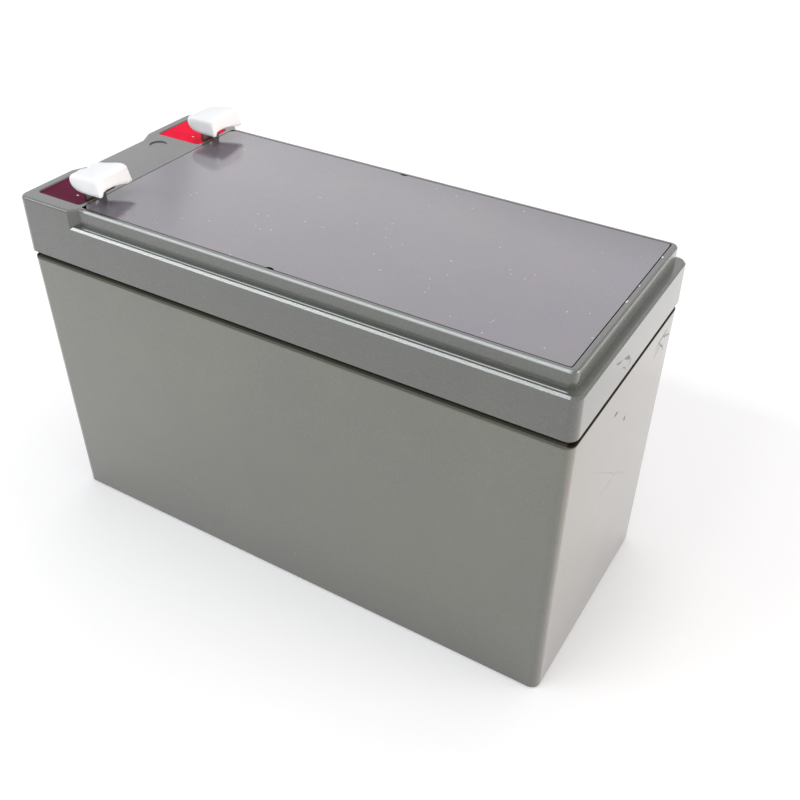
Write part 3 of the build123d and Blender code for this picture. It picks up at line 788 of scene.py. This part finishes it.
class BATTERY_OT_poured_epoxy(bpy.types.Operator):
    """Pour the epoxy of both pockets: level in the middle and climbing the walls"""

    bl_idname = "battery.poured_epoxy"
    bl_label = "Poured epoxy"

    def execute(self, context):
        finish = context.scene.battery_terminals
        # Last column: the place of each pour's painted glint, in millimetres
        for kind, colour, glow, crumb_and_painted_glint in (
            ("positive", tuple(finish.positive_epoxy), (0.95, 0.30, 0.30), (-63.7, 20.1)),
            ("negative", tuple(finish.negative_epoxy), (0.16, 0.08, 0.10), (-63.3, -23.9)),
        ):
            low, high = np.array(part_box(f"{kind}_epoxy"))
            middle = (low + high) / 2
            length, width = high[0] - low[0], high[1] - low[1]
            # The surface falls from the wall as the rise times e to the minus distance over reach.
            inset = np.array((0.0, 0.0, 0.0, 0.1, 0.22, 0.38, 0.6, 0.9, 1.3, 2.0, 3.2, 4.6)) * MM
            fall = finish.meniscus_rise * np.exp(-inset / finish.meniscus_reach)
            level = high[2] + fall
            level[0] = low[2]
            level[1] = (low[2] + high[2]) / 2
            ring = rounded_outline(length, width, finish.pocket_corner, inset)
            wave = 0.02 * MM * np.sin(ring[..., 0] * 900.0) * np.cos(ring[..., 1] * 700.0)
            wave *= (1 - np.exp(-inset / finish.meniscus_reach))[:, None]
            height = np.broadcast_to(level[:, None], wave.shape) + wave
            points = np.concatenate((ring + middle[:2], height[..., None]), axis=-1)
            piece = closed_stack(f"{kind}_epoxy_pour", points)
            spot = (crumb_and_painted_glint[0] * MM, crumb_and_painted_glint[1] * MM, high[2])
            piece.data.materials.append(epoxy_material(f"{kind}_epoxy_gloss", colour, glow, spot))
            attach(piece, "root")
            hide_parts(f"{kind}_epoxy")
        return {"FINISHED"}


def softened(outline, reach):
    """The closed outline with each point averaged with its neighbours, by bell-shaped weights whose
    width along the outline is the reach."""
    step = np.linalg.norm(np.roll(outline, -1, axis=0) - outline, axis=1).mean()
    count = len(outline)
    away = np.abs(np.arange(count)[:, None] - np.arange(count)[None, :])
    away = np.minimum(away, count - away) * step
    weight = np.exp(-0.5 * (away / reach) ** 2)
    return (weight / weight.sum(axis=1, keepdims=True)) @ outline


def even_points(corners, count):
    """Points evenly spaced along the closed polyline through the corners."""
    closed = np.vstack((corners, corners[:1]))
    run = np.concatenate(([0.0], np.cumsum(np.linalg.norm(np.diff(closed, axis=0), axis=1))))
    at = np.linspace(0.0, run[-1], count, endpoint=False)
    return np.stack((np.interp(at, run, closed[:, 0]), np.interp(at, run, closed[:, 1])), axis=-1)


def cover_surface(low, high, finish, yaw, slip):
    """Rings of the slip-on cover's skin, from its open bottom to the middle of its top.

    The plan is a block with a lobe at the front of its outer side and a slanted back corner, softened
    more towards the top, and nicked beside the lobe by a bell-shaped dent. The outer wall leans in
    towards its foot by a share that falls with the square of the height, and the inner wall tapers in
    as it rises. The lower edge is lifted over the arch in the inner side, and under the lobe by the
    square of the nearness to its corner. Above the wall each ring is drawn in by the radius times one
    minus the cosine of the angle, raised by the radius times the sine, and softened as it rises. The
    top is a shallow dome, lower over the lobe. The whole is then turned by the yaw about its middle
    and slipped along X."""
    (x0, y0, z0), (x1, y1, z1) = low, high
    nick = y0 + finish.lobe_width
    main = x0 + finish.lobe_reach
    corners = np.array(
        [
            (x1, y0), (x1, y1), (main + finish.slant_length, y1), (main, y1 - finish.slant_width),
            (main, nick + NICK_REACH), (main + 0.3 * MM, nick), (x0, nick - NICK_REACH), (x0, y0),
        ]
    )
    middle = np.array(((x0 + x1) / 2, (y0 + y1) / 2))
    sharp = even_points(corners, PLAN_POINTS)
    stretch = np.array((x1 - x0, y1 - y0))
    plans = []
    for reach in (0.45 * finish.plan_softness, finish.plan_softness):
        plan = softened(sharp, reach)
        plans.append(middle + (plan - middle) * (stretch / np.ptp(plan, axis=0)))
    low_plan, base = plans
    outer_side = np.clip((middle[0] - sharp[:, 0]) / (middle[0] - x0), 0, 1)
    inner_side = np.clip((sharp[:, 0] - middle[0]) / (x1 - middle[0]), 0, 1)
    dent = finish.nick_depth * np.exp(-(((sharp[:, 1] - nick) / NICK_WIDTH) ** 2))
    dent = dent * (sharp[:, 0] < middle[0])
    inner_wall = np.clip((sharp[:, 0] - (x1 - 1.3 * MM)) / (0.7 * MM), 0, 1)
    arch_y = y0 + np.array(ARCH_PLACES) * MM
    arch = np.interp(sharp[:, 1], arch_y, np.array(ARCH_RISES) * MM) * inner_wall
    near = np.clip(1 - np.hypot(sharp[:, 0] - x0, 0.55 * (sharp[:, 1] - y0)) / (3.4 * MM), 0, 1)
    foot = z0 + arch + finish.lobe_lift * near**2
    shoulder = z1 - finish.cover_rounding - finish.cover_dome
    sag = SAG_DEPTH * np.exp(-(np.hypot(sharp[:, 0] - x0, sharp[:, 1] - y0 - 1.5 * MM) / SAG_REACH) ** 2)
    rings = []
    for share in np.linspace(0.0, 1.0, 6):
        plan = low_plan + (base - low_plan) * share
        lean = 1 - (finish.wall_lean * (1 - share) ** 2 * outer_side)[:, None]
        ring = middle + (plan - middle) * lean
        ring[:, 0] += dent - finish.taper * share * inner_side
        rings.append(np.column_stack((ring, foot + (shoulder - sag - foot) * share)))
    inward = middle - base
    inward = inward / np.linalg.norm(inward, axis=1, keepdims=True)
    for angle in np.linspace(0.0, math.pi / 2, 10)[1:]:
        drawn = finish.cover_rounding * (1 - math.cos(angle))
        ring = softened(base, (0.2 + 0.45 * math.sin(angle)) * MM)
        ring = ring * math.sin(angle) + base * (1 - math.sin(angle)) + inward * drawn
        ring[:, 0] += dent - finish.taper * inner_side
        level = shoulder + finish.cover_rounding * math.sin(angle) - sag
        rings.append(np.column_stack((ring, level)))
    rim = rings[-1][:, :2]
    for share in (0.88, 0.72, 0.54, 0.36, 0.18):
        ring = middle + (rim - middle) * share
        rings.append(np.column_stack((ring, z1 - finish.cover_dome * share**2 - sag * share**3)))
    points = np.stack(rings)
    turn = np.array(((math.cos(yaw), math.sin(yaw)), (-math.sin(yaw), math.cos(yaw))))
    points[..., :2] = middle + (points[..., :2] - middle) @ turn + (slip, 0.0)
    return points


class BATTERY_OT_tab_covers(bpy.types.Operator):
    """Mould the soft white slip-on covers of both tabs"""

    bl_idname = "battery.tab_covers"
    bl_label = "Tab covers"

    def execute(self, context):
        finish = context.scene.battery_terminals
        material, tree, shader, place = start_material("tab_cover_plastic", 0.34)
        white = tuple(finish.cover_colour)
        clouds = noise(tree, place, 300.0, 3.0, 0.5)
        clouded(tree, shader, clouds, 0.3, 0.7, scaled(white, 0.985), white)
        depth = (1.6 * MM, 1.4 * MM, 1.6 * MM)
        feed(tree, shader, {"Subsurface Weight": 0.5, "Subsurface Radius": depth, "Subsurface Scale": 1.0})
        relief(tree, shader, noise(tree, place, 900.0, 2.0, 0.5), 0.03 * MM, 0.4)
        for kind, yaw, slip in (
            ("positive", -finish.cover_yaw, 0.0),
            ("negative", finish.cover_yaw, finish.front_slip),
        ):
            low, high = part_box(f"{kind}_tab_cover")
            points = cover_surface(tuple(low), tuple(high), finish, yaw, slip)
            piece = closed_stack(f"{kind}_cover_skin", points, False)
            skin = piece.modifiers.new("skin", "SOLIDIFY")
            skin.thickness = finish.cover_skin
            skin.offset = -1.0
            piece.data.materials.append(material)
            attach(piece, "root")
            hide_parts(f"{kind}_tab_cover")
        return {"FINISHED"}


class BATTERY_OT_tab_metal(bpy.types.Operator):
    """Dress both tabs in tinned metal with fine rolling lines"""

    bl_idname = "battery.tab_metal"
    bl_label = "Tab metal"

    def execute(self, context):
        finish = context.scene.battery_terminals
        material, tree, shader, place = start_material("tinned_tab", 0.28, 1.0)
        # The tabs' colour is darkened as painted shade
        metal = tuple(finish.tab_colour_with_painted_shade)
        lines = noise(tree, mapped(tree, place, (0, 0, 0), (0, 0, 0), (1, 1, 0.05)), 5200.0, 2.0)
        stain = noise(tree, place, 380.0, 4.0, 0.6)
        clouded(tree, shader, stain, 0.5, 0.8, metal, scaled(metal, 0.72))
        feed(tree, shader, {"Roughness": ramp(tree, stain, 0.3, 0.8, (0.22, 0.46))})
        relief(tree, shader, lines, 0.01 * MM, 0.5)
        dress(["positive_tab", "negative_tab"], material)
        return {"FINISHED"}


def named(*endings):
    """Nodes of the frame whose names end in one of the words."""
    return sorted(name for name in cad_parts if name.endswith(endings))


class BATTERY_OT_inside_finish(bpy.types.Operator):
    """Dress plates, separators, straps, posts and valves"""

    bl_idname = "battery.inside_finish"
    bl_label = "Inside finish"

    def execute(self, context):
        finish = context.scene.battery_inside
        lead, tree, shader, place = start_material("cast_lead", 0.5, 1.0)
        cloud = noise(tree, place, 240.0, 5.0, 0.65)
        colour = tuple(finish.lead)
        clouded(tree, shader, cloud, 0.3, 0.7, scaled(colour, 0.75), colour)
        feed(tree, shader, {"Roughness": ramp(tree, cloud, 0.3, 0.7, (0.62, 0.42))})
        relief(tree, shader, noise(tree, place, 700.0, 4.0, 0.6), 0.08 * MM, 0.6)
        dress(named("strap", "post"), lead)
        for kind in ("positive", "negative"):
            colour = tuple(getattr(finish, f"{kind}_paste"))
            paste, tree, shader, place = start_material(f"{kind}_paste", 0.85)
            crumb_and_painted_glint = noise(tree, place, 1300.0, 5.0, 0.7)
            clouded(tree, shader, crumb_and_painted_glint, 0.3, 0.7, scaled(colour, 0.7), colour)
            relief(tree, shader, crumb_and_painted_glint, 0.12 * MM, 0.7)
            dress(named(f"{kind}_plates"), paste)
        mat, tree, shader, place = start_material("glass_mat", 0.9)
        drawn = mapped(tree, place, (0, 0, 0), (0.2, 0.4, 0.3), (1, 1, 0.2))
        fibre = noise(tree, drawn, 3200.0, 4.0, 0.7, 1.2)
        white = tuple(finish.glass_mat)
        clouded(tree, shader, fibre, 0.3, 0.7, scaled(white, 0.86), white)
        feed(tree, shader, {"Sheen Weight": 0.3})
        relief(tree, shader, fibre, 0.1 * MM, 0.6)
        dress(named("separators"), mat)
        rubber, tree, shader, place = start_material("valve_rubber", 0.6)
        bloom = noise(tree, place, 500.0, 4.0, 0.6)
        black = tuple(finish.rubber)
        clouded(tree, shader, bloom, 0.45, 0.8, black, scaled(black, 1.8))
        relief(tree, shader, noise(tree, place, 1800.0, 2.0), 0.03 * MM, 0.5)
        dress(["vent_valves"], rubber)
        return {"FINISHED"}


def shown_rays(tree):
    """One for rays from the camera, from glossy surfaces and through clear ones."""
    path = tree.nodes.new("ShaderNodeLightPath")
    return joined(tree, *(path.outputs[f"Is {kind} Ray"] for kind in ("Camera", "Glossy", "Transmission")))


def lamp(name, power, place, target, run, size, colour):
    """A rectangular lamp at a place, facing a target, with its first side as near as it can be to the
    direction of the run.

    Its Z axis points away from the target, its X axis is the run less its share along Z, and its Y axis
    is the cross product of the two. The Euler angles are read from these axes."""
    light = bpy.data.lights.new(name, "AREA")
    light.shape = "RECTANGLE"
    light.size, light.size_y = size
    light.energy = power
    light.color = colour
    shown = bpy.data.objects.new(name, light)
    bpy.context.scene.collection.objects.link(shown)
    shown.location = place
    away = np.array(place) - np.array(target)
    away = away / np.linalg.norm(away)
    first = np.array(run) - np.dot(run, away) * away
    first = first / np.linalg.norm(first)
    second = np.cross(away, first)
    shown.rotation_euler = (
        math.atan2(second[2], away[2]),
        math.atan2(-first[2], math.hypot(first[0], first[1])),
        math.atan2(first[1], first[0]),
    )


def floor_sheet():
    """A wide level sheet that curves up, through a quarter of a circle, into a backdrop far behind the
    object.

    Along the sheet the run grows evenly up to the bend. There it is the bend's start plus the radius
    times the sine of the angle, the height is the radius times one minus its cosine, and a last row
    stands straight up from it."""
    side = np.linspace(-FLOOR_REACH, FLOOR_REACH, 13)
    angle = np.linspace(0.15, math.pi / 2, 10)
    level = np.linspace(FLOOR_FRONT, BEND_START, 10)
    run = np.concatenate((level, BEND_START + BEND_RADIUS * np.sin(angle), [BEND_START + BEND_RADIUS]))
    climb = np.concatenate((np.zeros(10), BEND_RADIUS * (1 - np.cos(angle)), [BACKDROP_TOP]))
    x, along = np.meshgrid(side, np.arange(run.size), indexing="ij")
    points = np.stack((x, run[along], climb[along]), axis=-1)
    i, j = np.meshgrid(np.arange(side.size - 1), np.arange(run.size - 1), indexing="ij")
    first = i * run.size + j
    quads = np.stack((first, first + run.size, first + run.size + 1, first + 1), axis=-1).reshape(-1, 4)
    return smooth_mesh("floor", points, quads.tolist())


class BATTERY_OT_studio(bpy.types.Operator):
    """Set up the pale floor, the soft lamps and the camera"""

    bl_idname = "battery.studio"
    bl_label = "Studio"

    def execute(self, context):
        scene = context.scene
        studio = scene.battery_studio
        floor = floor_sheet()
        material, tree, shader, place = start_material("floor_paper", 0.6)
        pale = tuple(studio.floor_colour)
        clouded(tree, shader, noise(tree, place, 3.0, 2.0), 0.3, 0.7, scaled(pale, 0.985), pale)
        lift = maths(tree, "MULTIPLY", shown_rays(tree), studio.floor_lift)
        feed(tree, shader, {"Emission Color": (1.0, 1.0, 1.0, 1.0), "Emission Strength": lift})
        floor.data.materials.append(material)

        world = bpy.data.worlds.new("studio_air")
        scene.world = world
        world.use_nodes = True
        tree = world.node_tree
        sky = tree.nodes["Background"]
        strength = ramp(tree, shown_rays(tree), 0.0, 1.0, (studio.world_strength, 1.0))
        feed(tree, sky, {"Color": (0.97, 0.975, 1.0, 1.0), "Strength": strength})
        for name, power, *placing in LAMPS:
            lamp(name, getattr(studio, power), *placing)

        view = bpy.data.cameras.new("camera")
        view.sensor_width = 36.0
        view.lens = studio.lens
        view.clip_start = 0.01
        camera = bpy.data.objects.new("camera", view)
        scene.collection.objects.link(camera)
        camera.location = studio.camera_place
        camera.rotation_euler = studio.camera_turn
        scene.camera = camera
        scene.view_settings.view_transform = "Standard"
        return {"FINISHED"}


STEPS = (
    BATTERY_OT_case_finish,
    BATTERY_OT_poured_epoxy,
    BATTERY_OT_tab_covers,
    BATTERY_OT_tab_metal,
    BATTERY_OT_inside_finish,
    BATTERY_OT_studio,
)
GROUPS = {
    "battery_case": CaseFinish,
    "battery_terminals": TerminalFinish,
    "battery_inside": InsideFinish,
    "battery_studio": StudioSettings,
}


class BATTERY_PT_looks(bpy.types.Panel):
    """Lists the steps that dress the battery"""

    bl_idname = "BATTERY_PT_looks"
    bl_label = "Battery looks"
    bl_space_type = "VIEW_3D"
    bl_region_type = "UI"
    bl_category = "Battery"

    def draw(self, context):
        for step in STEPS:
            self.layout.operator(step.bl_idname)
        for name in GROUPS:
            group = getattr(context.scene, name)
            box = self.layout.box()
            for key in group.bl_rna.properties.keys():
                if key not in ("rna_type", "name"):
                    box.prop(group, key)


def register():
    for name, group in GROUPS.items():
        bpy.utils.register_class(group)
        setattr(bpy.types.Scene, name, bpy.props.PointerProperty(type=group))
    for step in STEPS:
        bpy.utils.register_class(step)
    bpy.utils.register_class(BATTERY_PT_looks)


def unregister():
    bpy.utils.unregister_class(BATTERY_PT_looks)
    for step in reversed(STEPS):
        bpy.utils.unregister_class(step)
    for name, group in reversed(GROUPS.items()):
        delattr(bpy.types.Scene, name)
        bpy.utils.unregister_class(group)


def main():
    register()
    bpy.ops.battery.case_finish()
    bpy.ops.battery.poured_epoxy()
    bpy.ops.battery.tab_covers()
    bpy.ops.battery.tab_metal()
    bpy.ops.battery.inside_finish()
    bpy.ops.battery.studio()
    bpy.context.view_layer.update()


if __name__ == "__main__":
    main()
